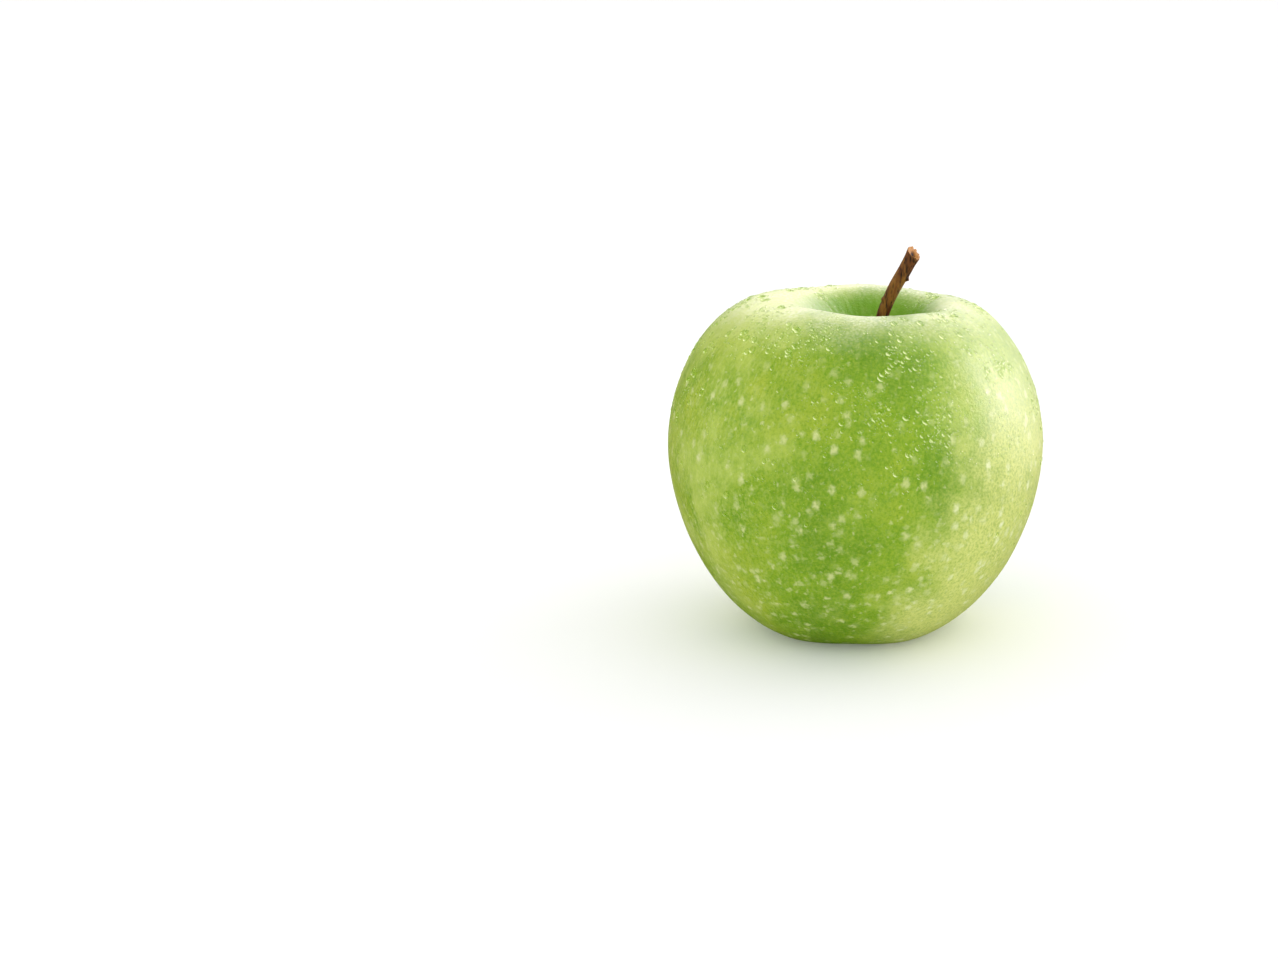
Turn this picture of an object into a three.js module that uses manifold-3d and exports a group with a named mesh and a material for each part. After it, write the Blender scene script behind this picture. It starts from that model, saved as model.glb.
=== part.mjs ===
// A green apple standing on its calyx end: the fruit in one piece, its woody stem, and the dried
// remains of the flower in the basin underneath. Millimetres, +Z up. The origin lies on the surface
// that the apple stands on, under the middle of its outline, and -Y is the front.
import * as THREE from "three";
import { mergeVertices } from "three/addons/utils/BufferGeometryUtils.js";
import Module from "manifold-3d";

const wasm = await Module();
wasm.setup();

// ---------------------------------------------------------------- driving dimensions

// The fruit's half section, heights measured from the feet.
const CHEEK_RADIUS = 39; // the widest level
const CHEEK_HEIGHT = 38.6;
const CROWN_RADIUS = 18; // the ring where the shoulders are highest
const CROWN_HEIGHT = 69.5;
const CAVITY_DEPTH = 14; // the stem cavity, below the crown
const FOOT_RADIUS = 15; // the ring that the fruit stands on
const BASIN_DEPTH = 8; // the calyx basin, above the feet

// Fullness of each curve: how far its tangent handle reaches towards the corner, 0 to 1.
const SHOULDER_REACH = 0.59; // outwards from the crown
const UPPER_CHEEK_REACH = 0.49; // upwards from the widest level
const LOWER_CHEEK_REACH = 0.49; // downwards from the widest level
const FOOT_REACH = 0.43; // outwards from the feet
const BASIN_LIP_REACH = 0.43; // inwards from the feet
const BASIN_ROOF_REACH = 0.33; // outwards from the basin's roof
const CAVITY_LIP_REACH = 0.45; // inwards from the crown
const CAVITY_FLOOR_REACH = 0.3; // outwards from the cavity's floor

// Where growth departs from a turned shape.
const LOBES = 5; // one for each carpel
const LOBE_ANGLE = THREE.MathUtils.degToRad(232);
const LOBE_SWELL = 0.008; // share of the radius
const CROWN_WAVE = 0.22; // height of the lobes round the crown
const FOOT_WAVE = 0.2; // height of the lobes round the feet
const OVAL_SWELL = 0.004;
const OVAL_ANGLE = THREE.MathUtils.degToRad(25);
const CAVITY_OFFSET = 3.4; // the stem cavity lies to +X of the middle
const HIGH_SHOULDER_RISE = 0.8; // one shoulder stands higher than the one across from it
const HIGH_SHOULDER_ANGLE = THREE.MathUtils.degToRad(190);
const FOOT_FLAT = 0.2; // how much of each foot is pressed flat

// The stem, from its root in the flesh to its broken end.
const STEM_PATH = [
  [4.0, 0.3, 51.5],
  [4.4, 0.3, 57.0],
  [5.1, 0.2, 62.0],
  [6.2, 0, 67.0],
  [8.1, -0.2, 71.6],
  [10.5, -0.3, 75.9],
  [12.4, -0.4, 79.6],
];
const STEM_RADII = [
  // [share of the length, radius]
  [0, 1.5],
  [0.2, 1.4],
  [0.5, 1.3],
  [0.75, 1.36],
  [0.9, 1.5],
  [1, 1.66],
];
const STEM_END_ROUNDING = 0.15;
const SCAR_PLACE = 0.77; // the bud scar's share of the stem's length
const SCAR_RADIUS = 0.55;
const SCAR_ANGLE = THREE.MathUtils.degToRad(-20); // round the stem, from its outer side

// The calyx: five dried sepals round a tube that holds the dried stamens.
const SEPALS = 5;
const SEPAL_RING = 3.3; // radius of the ring that they stand in
const SEPAL_TOP = 6.3; // height of their bases above the feet
const SEPAL_WIDTH = 3.3;
const SEPAL_THICKNESS = 0.45;
const SEPAL_TIP_SHARE = 0.16; // width left at the tip, as a share of the full width
const SEPAL_CUP = 0.35; // how deep each is hollowed across its width
const TUBE_RADIUS = 1.9;
const TUBE_HEIGHT = 3; // above the basin's roof
const STAMENS = 9;
const STAMEN_RADIUS = 0.17;
const STAMEN_LENGTH = 4.6;
const STAMEN_SPREAD = 1.25; // how far out the anthers stand from the middle
const TUFT_RADIUS = 1.35;
const TUFT_THICKNESS = 1.1;

const GAP = 0.3; // between a piece and the flesh that it grows from

// Fineness of the facets.
const FRUIT_SIDES = 80;
const STEM_SIDES = 16;
const STEM_STEPS = 26;

const SKIN_GREEN = new THREE.Color("#86ab30");
const STEM_BROWN = new THREE.Color("#6a4426");
const SEPAL_BROWN = new THREE.Color("#6f6238");
const STAMEN_BROWN = new THREE.Color("#4a2f1c");

// ---------------------------------------------------------------- helpers

function finish(color, roughness) {
  return new THREE.MeshStandardMaterial({ color, roughness, metalness: 0 });
}

// Moves every vertex of a geometry to the point that the function returns for it.
function reshape(geometry, move) {
  const place = geometry.getAttribute("position");
  const point = new THREE.Vector3();
  for (let i = 0; i < place.count; i++) {
    point.fromBufferAttribute(place, i);
    place.setXYZ(i, ...move(point).toArray());
  }
  return geometry;
}

// A closed geometry as a solid that can be joined and cut.
function solid(geometry) {
  const bare = geometry.clone();
  for (const name of Object.keys(bare.attributes)) {
    if (name !== "position") bare.deleteAttribute(name);
  }
  const merged = mergeVertices(bare, 1e-3);
  return new wasm.Manifold(
    new wasm.Mesh({
      numProp: 3,
      vertProperties: new Float32Array(merged.getAttribute("position").array),
      triVerts: new Uint32Array(merged.getIndex().array),
    }),
  );
}

function geometryOf(shape) {
  const mesh = shape.getMesh();
  const geometry = new THREE.BufferGeometry();
  geometry.setAttribute("position", new THREE.BufferAttribute(mesh.vertProperties, 3));
  geometry.setIndex(new THREE.BufferAttribute(mesh.triVerts, 1));
  geometry.computeVertexNormals();
  return geometry;
}

function node(name, geometry, material) {
  const mesh = new THREE.Mesh(geometry, material);
  mesh.name = name;
  return mesh;
}

// A turned shape: rows of [radius, height], from one end of the axis to the other.
function turned(rows, sides) {
  const outline = rows.map(([radius, height]) => new THREE.Vector2(radius, height));
  return new THREE.LatheGeometry(outline, sides).rotateX(Math.PI / 2);
}

// Places a shape made along +Z, with height 0 to 1, on a curve: its sideways offsets stay at right
// angles to the curve, and local +X faces the outer side of a bend in the XZ plane.
function alongCurve(geometry, curve) {
  const back = new THREE.Vector3(0, 1, 0);
  return reshape(geometry, (point) => {
    const share = THREE.MathUtils.clamp(point.z, 0, 1);
    const tangent = curve.getTangentAt(share);
    const side = new THREE.Vector3().crossVectors(back, tangent).normalize();
    const across = new THREE.Vector3().crossVectors(tangent, side);
    return curve
      .getPointAt(share)
      .addScaledVector(side, point.x)
      .addScaledVector(across, point.y);
  });
}

function interpolate(table, at) {
  const last = table.findIndex(([share]) => share >= at);
  if (last <= 0) return table[0][1];
  const [[from, low], [to, high]] = [table[last - 1], table[last]];
  return THREE.MathUtils.lerp(low, high, (at - from) / (to - from));
}

// ---------------------------------------------------------------- fruit

// The half section, from the roof of the basin round the cheek to the floor of the stem cavity.
function halfSection() {
  const spread = CHEEK_RADIUS - CROWN_RADIUS;
  const flare = CHEEK_RADIUS - FOOT_RADIUS;
  const floor = CROWN_HEIGHT - CAVITY_DEPTH;
  const rise = CROWN_HEIGHT - CHEEK_HEIGHT;
  const basin = new THREE.CubicBezierCurve(
    new THREE.Vector2(0, BASIN_DEPTH),
    new THREE.Vector2(FOOT_RADIUS * BASIN_ROOF_REACH, BASIN_DEPTH),
    new THREE.Vector2(FOOT_RADIUS * (1 - BASIN_LIP_REACH), 0),
    new THREE.Vector2(FOOT_RADIUS, 0),
  );
  const lowerCheek = new THREE.CubicBezierCurve(
    new THREE.Vector2(FOOT_RADIUS, 0),
    new THREE.Vector2(FOOT_RADIUS + flare * FOOT_REACH, 0),
    new THREE.Vector2(CHEEK_RADIUS, CHEEK_HEIGHT * (1 - LOWER_CHEEK_REACH)),
    new THREE.Vector2(CHEEK_RADIUS, CHEEK_HEIGHT),
  );
  const upperCheek = new THREE.CubicBezierCurve(
    new THREE.Vector2(CHEEK_RADIUS, CHEEK_HEIGHT),
    new THREE.Vector2(CHEEK_RADIUS, CHEEK_HEIGHT + rise * UPPER_CHEEK_REACH),
    new THREE.Vector2(CROWN_RADIUS + spread * SHOULDER_REACH, CROWN_HEIGHT),
    new THREE.Vector2(CROWN_RADIUS, CROWN_HEIGHT),
  );
  const cavity = new THREE.CubicBezierCurve(
    new THREE.Vector2(CROWN_RADIUS, CROWN_HEIGHT),
    new THREE.Vector2(CROWN_RADIUS * (1 - CAVITY_LIP_REACH), CROWN_HEIGHT),
    new THREE.Vector2(CROWN_RADIUS * CAVITY_FLOOR_REACH, floor + 1),
    new THREE.Vector2(0, floor),
  );
  const stretches = [
    [basin, 8],
    [lowerCheek, 12],
    [upperCheek, 12],
    [cavity, 10],
  ];
  const rows = stretches.flatMap(([curve, steps]) => curve.getPoints(steps).slice(1));
  return [basin.getPoint(0), ...rows].map((point) => [point.x, point.y]);
}

// Moves a point of the turned fruit to where growth puts it: five lobes, a slight oval, a stem
// cavity beside the middle, and one shoulder higher than the other.
function grow(point) {
  const radius = Math.hypot(point.x, point.y);
  const angle = Math.atan2(point.y, point.x);
  const lobe = Math.cos(LOBES * (angle - LOBE_ANGLE));
  const oval = Math.cos(2 * (angle - OVAL_ANGLE));
  const upper = THREE.MathUtils.smoothstep(point.z, CHEEK_HEIGHT - 10, CHEEK_HEIGHT + 10);
  const inward = 1 - THREE.MathUtils.smoothstep(radius, 8, 34);
  const onCrown = upper * Math.sin(Math.PI * THREE.MathUtils.clamp(radius / (2 * CROWN_RADIUS), 0, 1));
  const onFeet = (1 - upper) * Math.sin(Math.PI * THREE.MathUtils.clamp(radius / (2 * FOOT_RADIUS), 0, 1));
  const swell = 1 + LOBE_SWELL * lobe + OVAL_SWELL * oval;
  const highShoulder = Math.cos(angle - HIGH_SHOULDER_ANGLE);
  return new THREE.Vector3(
    point.x * swell + CAVITY_OFFSET * upper * inward,
    point.y * swell,
    point.z +
      onCrown * (CROWN_WAVE * lobe + HIGH_SHOULDER_RISE * highShoulder) +
      onFeet * FOOT_WAVE * (1 - lobe) -
      FOOT_FLAT,
  );
}

// The fruit stands on the flats that its five feet have where they are pressed level.
function fruit(stem) {
  const body = solid(reshape(turned(halfSection(), FRUIT_SIDES), grow));
  const below = new THREE.BoxGeometry(100, 100, 10).translate(0, 0, -5);
  const tubeTop = BASIN_DEPTH - FOOT_FLAT + TUBE_HEIGHT;
  const tube = new THREE.CylinderGeometry(TUBE_RADIUS, TUBE_RADIUS, 8, 20).rotateX(Math.PI / 2);
  const cuts = [below, tube.translate(0, 0, tubeTop - 4), stemShape(GAP)];
  const cut = cuts.reduce((left, tool) => left.subtract(solid(tool)), body);
  return node("fruit", geometryOf(cut), finish(SKIN_GREEN, 0.35));
}

// ---------------------------------------------------------------- stem

const stemCurve = new THREE.CatmullRomCurve3(STEM_PATH.map((place) => new THREE.Vector3(...place)));

// The stem's outer shape, grown all round by a margin. The root end grows by it too.
function stemShape(margin) {
  const length = stemCurve.getLength();
  const rounding = STEM_END_ROUNDING / length;
  const shares = Array.from({ length: STEM_STEPS + 1 }, (_, i) => i / STEM_STEPS);
  const wall = shares.map((share) => [interpolate(STEM_RADII, share) + margin, share]);
  const [rootRadius] = wall[0];
  const [endRadius] = wall.at(-1);
  wall[wall.length - 1] = [endRadius, 1 - rounding];
  const rows = [[0, 0], [rootRadius * 0.8, 0], ...wall.slice(1), [endRadius - STEM_END_ROUNDING, 1], [0, 1]];
  const shape = alongCurve(turned(rows, STEM_SIDES), stemCurve);
  return margin ? shape.translate(0, 0, -margin) : shape;
}

function stem() {
  const tangent = stemCurve.getTangentAt(SCAR_PLACE);
  const side = new THREE.Vector3().crossVectors(new THREE.Vector3(0, 1, 0), tangent).normalize();
  side.applyAxisAngle(tangent, SCAR_ANGLE);
  const centre = stemCurve.getPointAt(SCAR_PLACE).addScaledVector(side, interpolate(STEM_RADII, SCAR_PLACE));
  const scar = new THREE.SphereGeometry(SCAR_RADIUS, 10, 8).translate(...centre.toArray());
  return node("stem", geometryOf(solid(stemShape(0)).add(solid(scar))), finish(STEM_BROWN, 0.75));
}

// ---------------------------------------------------------------- calyx

// One sepal in the XZ plane: it leans in over the tube, then curls back out at its tip.
function sepalCurve({ lean, curl, length }) {
  const fall = SEPAL_TOP - length;
  return new THREE.CatmullRomCurve3([
    new THREE.Vector3(SEPAL_RING, 0, SEPAL_TOP),
    new THREE.Vector3(SEPAL_RING - lean * 0.45, 0, SEPAL_TOP - length * 0.4),
    new THREE.Vector3(SEPAL_RING - lean, 0, SEPAL_TOP - length * 0.75),
    new THREE.Vector3(SEPAL_RING - lean + curl * 0.5, 0, fall + 0.1),
    new THREE.Vector3(SEPAL_RING - lean + curl, 0, fall + length * 0.12),
  ]);
}

// Each of the five has dried a little differently.
const SEPAL_SHAPES = [
  { lean: 1.3, curl: 1.7, length: 4.6 },
  { lean: 1.5, curl: 1.2, length: 4.1 },
  { lean: 1.1, curl: 2.1, length: 4.9 },
  { lean: 1.6, curl: 1.3, length: 4.3 },
  { lean: 1.2, curl: 1.6, length: 4.7 },
];

function sepal(index) {
  const blade = new THREE.BoxGeometry(1, 1, 1, 1, 6, 12).translate(0, 0, 0.5);
  const tapered = reshape(blade, (point) => {
    const share = point.z;
    const narrowing = Math.pow(share, 1.6) * (1 - SEPAL_TIP_SHARE);
    const width = SEPAL_WIDTH * (1 - narrowing);
    const cup = SEPAL_CUP * (1 - share) * (1 - 4 * point.y * point.y);
    return new THREE.Vector3(SEPAL_THICKNESS * point.x - cup, width * point.y, share);
  });
  const mesh = node(
    `sepal_${index + 1}`,
    alongCurve(tapered, sepalCurve(SEPAL_SHAPES[index])),
    finish(SEPAL_BROWN, 0.85),
  );
  mesh.rotation.z = LOBE_ANGLE + (index + 0.5) * ((2 * Math.PI) / SEPALS);
  return mesh;
}

// The dried stamens and styles, joined where they leave the top of the tube.
function stamens() {
  const top = BASIN_DEPTH - FOOT_FLAT + TUBE_HEIGHT - GAP;
  const tuft = new THREE.CylinderGeometry(TUFT_RADIUS, TUFT_RADIUS * 0.8, TUFT_THICKNESS, 16);
  let joined = solid(tuft.rotateX(Math.PI / 2).translate(0, 0, top - TUFT_THICKNESS / 2));
  for (let i = 0; i < STAMENS; i++) {
    const angle = (i / STAMENS) * 2 * Math.PI;
    const spread = i % 2 ? STAMEN_SPREAD : STAMEN_SPREAD * 0.55;
    const root = new THREE.Vector3(0.7 * Math.cos(angle), 0.7 * Math.sin(angle), top - TUFT_THICKNESS / 2);
    const end = new THREE.Vector3(spread * Math.cos(angle), spread * Math.sin(angle), top - STAMEN_LENGTH);
    const line = new THREE.LineCurve3(root, end);
    const rows = [
      [0, 0],
      [STAMEN_RADIUS, 0],
      [STAMEN_RADIUS, 0.85],
      [STAMEN_RADIUS * 1.9, 0.9],
      [STAMEN_RADIUS * 1.5, 1],
      [0, 1],
    ];
    joined = joined.add(solid(alongCurve(turned(rows, 7), line)));
  }
  return node("stamens", geometryOf(joined), finish(STAMEN_BROWN, 0.9));
}

// ---------------------------------------------------------------- the whole apple

const apple = new THREE.Group();
apple.name = "apple";
apple.add(fruit(), stem(), stamens());
for (let i = 0; i < SEPALS; i++) apple.add(sepal(i));

// The middle of the outline goes over the origin.
const outline = new THREE.Box3().setFromObject(apple, true);
const middle = outline.getCenter(new THREE.Vector3());
apple.position.set(-middle.x, -middle.y, 0);

export default apple;
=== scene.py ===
"""A fresh green apple, wet with fine drops, standing on its calyx end in soft studio light.

The apple's sizes are in millimetres and are turned to metres as each mesh is finished. The studio's are in
metres, and its powers in watts. -Y is the apple's front and the stem leans to +X.
"""

from __future__ import annotations

import logging
import math
import random
from collections.abc import Iterable, Mapping
from dataclasses import dataclass, field
from enum import Enum
from itertools import accumulate

import bmesh
import bpy
from mathutils import Matrix, Quaternion, Vector, noise


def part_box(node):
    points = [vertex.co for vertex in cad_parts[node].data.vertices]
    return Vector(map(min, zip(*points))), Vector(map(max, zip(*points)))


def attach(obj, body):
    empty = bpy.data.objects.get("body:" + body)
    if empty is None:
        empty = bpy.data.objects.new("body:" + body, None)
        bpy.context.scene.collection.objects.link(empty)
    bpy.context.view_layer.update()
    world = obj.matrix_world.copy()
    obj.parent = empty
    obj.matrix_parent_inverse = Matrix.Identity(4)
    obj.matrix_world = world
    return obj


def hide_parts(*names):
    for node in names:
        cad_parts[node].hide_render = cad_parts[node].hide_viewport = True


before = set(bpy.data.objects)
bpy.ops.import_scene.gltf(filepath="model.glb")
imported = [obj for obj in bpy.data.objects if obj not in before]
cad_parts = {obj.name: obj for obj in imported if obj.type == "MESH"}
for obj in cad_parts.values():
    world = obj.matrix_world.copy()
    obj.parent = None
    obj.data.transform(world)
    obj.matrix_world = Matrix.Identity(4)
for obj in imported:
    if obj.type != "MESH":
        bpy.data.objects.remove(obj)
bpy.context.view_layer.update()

log = logging.getLogger("apple")

Socket = bpy.types.NodeSocket

MM = 0.001
DROP_LIGHT = "drop_light"
WHITE = "#ffffff"
ROSY = "#ffecf3"
SMOOTH = {"interpolation_type": "SMOOTHSTEP"}  # for a Map Range node with a soft start and end
COLOR_MIX = {"data_type": "RGBA", "out": 2}  # for a Mix node of colours


# ---------------------------------------------------------------- helpers


def linear(code: str) -> tuple[float, float, float, float]:
    """Turns an sRGB hex colour into linear light.

    Args:
        code: The colour as "#rrggbb".

    Returns:
        Red, green, blue and an alpha of 1.
    """
    parts = [int(code[i : i + 2], 16) / 255 for i in (1, 3, 5)]
    light = [p / 12.92 if p <= 0.04045 else ((p + 0.055) / 1.055) ** 2.4 for p in parts]
    return (*light, 1.0)


def smoothstep(low: float, high: float, value: float) -> float:
    """Rises smoothly from 0 at low to 1 at high."""
    share = min(max((value - low) / (high - low), 0.0), 1.0)
    return share * share * (3 - 2 * share)


def hump(value: float, width: float) -> float:
    """A bell curve: 1 where value is 0, fading out over a width."""
    return math.exp(-((value / width) ** 2))


def turn_between(start: float, end: float) -> float:
    """The turn from one angle to another, within half a turn either way."""
    return (end - start + math.pi) % (2 * math.pi) - math.pi


def interpolate(table: Iterable[tuple[float, float]], at: float) -> float:
    """Reads a table of (place, value) pairs, in rising order, between its places.

    Args:
        table: The pairs.
        at: The place to read.

    Returns:
        The value there, and the nearest end's value outside the table.
    """
    rows = list(table)
    if at <= rows[0][0]:
        return rows[0][1]
    for (from_place, low), (to_place, high) in zip(rows, rows[1:]):
        if at <= to_place:
            return low + (high - low) * (at - from_place) / (to_place - from_place)
    return rows[-1][1]


def add_node(
    tree: bpy.types.NodeTree,
    kind: str,
    inputs: Mapping[str | int, object] | None = None,
    out: str | int = 0,
    **settings: object,
) -> Socket | None:
    """Adds a shader node, sets its properties, and sets or links its inputs.

    Args:
        tree: The node tree that it goes into.
        kind: The node's type, without the "ShaderNode" that each begins with.
        inputs: Input name or number to a value, or to the output socket that feeds it.
        out: The name or number of the output to hand back.
        settings: The node's own properties.

    Returns:
        That output, or None from a node that has no outputs.
    """
    node = tree.nodes.new("ShaderNode" + kind)
    for name, value in settings.items():
        setattr(node, name, value)
    for key, value in (inputs or {}).items():
        if isinstance(value, Socket):
            tree.links.new(value, node.inputs[key])
        else:
            node.inputs[key].default_value = value
    return node.outputs[out] if node.outputs else None


@dataclass(frozen=True)
class Ramp:
    """A change from one level to another while a reading goes from its start to its end."""

    start: float
    end: float
    low: float = 0.0
    high: float = 1.0

    def of(self, reading: Socket) -> dict[int, object]:
        """The inputs that a Map Range node takes for a reading."""
        return {0: reading, 1: self.start, 2: self.end, 3: self.low, 4: self.high}


@dataclass(frozen=True)
class Pattern:
    """A noise pattern: its size in millimetres, how many finer layers it has, and how strong they are."""

    size: float
    detail: float
    roughness: float = 0.5

    def over(self, place: Socket) -> dict[str, object]:
        """The inputs that a noise node takes over places in millimetres."""
        scale = 1 / self.size
        return {"Vector": place, "Scale": scale, "Detail": self.detail, "Roughness": self.roughness}


def new_material(name: str) -> tuple[bpy.types.Material, bpy.types.NodeTree]:
    """Makes an empty node material and returns it with its tree."""
    material = bpy.data.materials.new(name)
    material.use_nodes = True
    material.node_tree.nodes.clear()
    return material, material.node_tree


def finish_piece(
    name: str,
    bm: bmesh.types.BMesh,
    material: bpy.types.Material,
    shift: Vector,
) -> bpy.types.Object:
    """Turns a mesh drawn in millimetres into a finished, smooth-shaded object in metres.

    Args:
        name: The object's name.
        bm: The mesh, which is freed.
        material: Its material.
        shift: How far the drawing's axis is from the frame's, in millimetres.

    Returns:
        The object, riding on the apple's one body.
    """
    bmesh.ops.translate(bm, verts=bm.verts, vec=shift)
    bmesh.ops.scale(bm, verts=bm.verts, vec=(MM, MM, MM))
    mesh = bpy.data.meshes.new(name)
    bm.to_mesh(mesh)
    bm.free()
    mesh.shade_smooth()
    mesh.materials.append(material)
    piece = bpy.data.objects.new(name, mesh)
    bpy.context.scene.collection.objects.link(piece)
    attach(piece, "root")
    log.info("%s: %d faces", name, len(mesh.polygons))
    return piece


# ---------------------------------------------------------------- finishes


@dataclass(frozen=True)
class DotLayer:
    """One size of the pale breathing dots (lenticels) in the skin, lengths in millimetres."""

    spacing: float  # between the cells that may each hold a dot
    core: float  # radius that is fully pale
    edge: float  # radius where the halo ends
    stretch: tuple[float, float, float]
    low: tuple[float, float]  # the layer fades in between these heights
    high: tuple[float, float]  # and out between these
    strength: float
    offset: float  # sets one layer's dots apart from another's


@dataclass(frozen=True)
class SkinMap:
    """Readings that several patterns of the skin share, each an output socket in its material."""

    tree: bpy.types.NodeTree
    place: Socket  # in millimetres, as all lengths here
    height: Socket
    upper: Socket  # 0 below the cheek, 1 on the shoulders
    radius: Socket  # from the stem's axis above, and from the middle below
    outward: Socket
    meridian: Socket  # the place, drawn out along the meridians
    spread: Socket  # low where the meridians all meet, at the stem and at the calyx
    leftness: Socket
    mottle: Socket
    grain: Socket
    cloud: Socket


@dataclass(frozen=True)
class AppleSkin:
    """Raw apple skin under its natural wax: a satin gloss over mottled green, with pale dots.

    The wax gives broad soft highlights, and the living skin under it gives mottling that runs along the
    meridians, paler streaks, and lenticels that crowd towards the calyx end. Its colour also holds painted
    sheen: a pale right cheek, which is partly the skin's own tone, and a whitened top of the crown.
    """

    deep: str = "#67960b"
    middle: str = "#81a91b"
    light: str = "#abbf34"
    pale: str = "#c6d472"
    dot: str = "#d2da92"
    cavity: str = "#6fa30c"
    russet: str = "#9a8f4a"
    bloom: str = "#c3d463"
    # Fine water on the top of the crown, partly painted sheen where the top catches the light.
    mist_and_sheen: str = "#e5e8be"
    # Painted sheen: the right cheek's pale colour and its whiter dots, partly the skin's own tone and partly
    # light from the right.
    cheek_tone_and_sheen: str = "#d4db7e"
    cheek_dot_and_sheen: str = "#e4ebb8"

    patches: Pattern = Pattern(26.0, 3.0)
    mottle: Pattern = Pattern(5.0, 4.0, 0.6)
    grain: Pattern = Pattern(0.6, 4.0, 0.75)
    clouds: Pattern = Pattern(14.0, 5.0, 0.62)
    streaks: Pattern = Pattern(0.8, 4.0, 0.65)
    pores: Pattern = Pattern(0.55, 3.0, 0.7)
    ragged: Pattern = Pattern(0.9, 2.0)
    ragged_reach: float = 1.7  # how far a dot's edge wanders, in millimetres
    film_grain: float = 0.6
    streak_squeeze: float = 0.6  # a streak's width over its length
    bloom_shift: tuple[float, float, float] = (9.0, -3.0, 11.0)  # sets the bloom apart from the clouds
    left: tuple[float, float, float] = (-0.95, 0.3, 0.0)
    right: tuple[float, float, float] = (0.93, -0.37, 0.0)

    # Heights and radii in millimetres.
    meridians_part: Ramp = Ramp(7.0, 27.0, 0.12)
    crown: Ramp = Ramp(56.0, 67.5)
    # The right cheek's painted sheen reaches lower near the feet and fades under the shoulder.
    lowness: Ramp = Ramp(32.0, 8.0, 0.0, 0.17)
    under_shoulder: Ramp = Ramp(62.0, 40.0, 0.3)
    on_top: Ramp = Ramp(63.5, 68.8)
    basin_height: float = 12.0
    by_stem_height: float = 5.0
    shoulder_drop: float = 5.0

    # Shares of one kind of skin, from the strength of a pattern.
    leftward: Ramp = Ramp(-0.3, 0.9)
    middle_green: Ramp = Ramp(0.58, 0.82)
    light_green: Ramp = Ramp(0.76, 1.05)
    light_grain: Ramp = Ramp(0.46, 0.66, 0.0, 0.45)
    deep_grain: Ramp = Ramp(0.5, 0.34, 0.0, 0.6)
    bloom_edge: Ramp = Ramp(0.54, 0.84, 0.0, 0.75)
    cheek_and_sheen_edge: Ramp = Ramp(0.97, 1.33, 0.0, 0.95)
    cheek_and_sheen_grain: Ramp = Ramp(0.38, 0.56, 0.5)
    streak_edge: Ramp = Ramp(0.47, 0.64)
    streak_level: Ramp = Ramp(0.0, 1.0, 0.12, 0.5)
    clearing: Ramp = Ramp(0.35, 0.6, 0.7)
    film_edge: Ramp = Ramp(0.7, 0.15, 0.2, 0.55)
    film_gathering: Ramp = Ramp(0.4, 0.56, 0.25)
    dot_luck: Ramp = Ramp(0.0, 1.0, 0.3)
    wax_roughness: Ramp = Ramp(0.3, 0.7, 0.34, 0.5)

    # How much each reading counts in a sum with others.
    left_tone: float = 0.24
    mottle_tone: float = 0.42
    left_bloom: float = 0.16
    # The crown's extra bloom is partly painted sheen of the top, where it catches the light.
    crown_bloom_and_sheen: float = 0.12
    cheek_and_sheen_clouds: float = 0.7

    halo_falloff: float = 1.4
    dots: tuple[DotLayer, ...] = (
        DotLayer(3.0, 0.2, 1.25, (1.0, 1.0, 1.35), (4.0, 16.0), (54.0, 68.0), 1.0, 0.0),
        DotLayer(2.4, 0.15, 0.95, (1.3, 1.3, 0.9), (-5.0, -1.0), (20.0, 38.0), 1.0, 37.0),
        DotLayer(1.8, 0.05, 0.55, (1.0, 1.0, 1.2), (-5.0, -1.0), (80.0, 90.0), 0.7, 71.0),
    )

    def survey(self, tree: bpy.types.NodeTree, form: FruitForm) -> SkinMap:
        """Draws the readings that the patterns share.

        Args:
            tree: The material's tree.
            form: The fruit's sizes.

        Returns:
            The readings.
        """
        metres = add_node(tree, "TexCoord", out="Object")
        place = add_node(tree, "VectorMath", {0: metres, 1: (1 / MM,) * 3}, operation="MULTIPLY")
        across, along, height = add_node(tree, "SeparateXYZ", {0: place}).node.outputs
        shoulders = Ramp(form.cheek_height, form.crown_height - self.shoulder_drop)
        upper = add_node(tree, "MapRange", shoulders.of(height), **SMOOTH)
        offset = {0: upper, 1: -form.cavity_offset, 2: across}
        level = {0: add_node(tree, "Math", offset, operation="MULTIPLY_ADD"), 1: along, 2: 0.0}
        level = add_node(tree, "CombineXYZ", level)
        radius = add_node(tree, "VectorMath", {0: level}, out=1, operation="LENGTH")
        outward = add_node(tree, "VectorMath", {0: level}, operation="NORMALIZE")
        rise = add_node(tree, "CombineXYZ", {0: 0.0, 1: 0.0, 2: height})
        girth = (form.cheek_radius,) * 3
        around = add_node(tree, "VectorMath", {0: outward, 1: girth}, operation="MULTIPLY")
        drawn = {0: rise, 1: (self.streak_squeeze,) * 3, 2: around}
        spread = add_node(tree, "MapRange", self.meridians_part.of(radius), **SMOOTH)
        left = add_node(tree, "VectorMath", {0: outward, 1: self.left}, out=1, operation="DOT_PRODUCT")
        left = add_node(tree, "Math", {0: left, 1: spread}, operation="MULTIPLY")
        mottle, grain, cloud = (
            add_node(tree, "TexNoise", pattern.over(place))
            for pattern in (self.mottle, self.grain, self.clouds)
        )
        return SkinMap(
            tree=tree,
            place=place,
            height=height,
            upper=upper,
            radius=radius,
            outward=outward,
            meridian=add_node(tree, "VectorMath", drawn, operation="MULTIPLY_ADD"),
            spread=spread,
            leftness=add_node(tree, "MapRange", self.leftward.of(left), **SMOOTH),
            mottle=mottle,
            grain=grain,
            cloud=cloud,
        )

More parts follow.
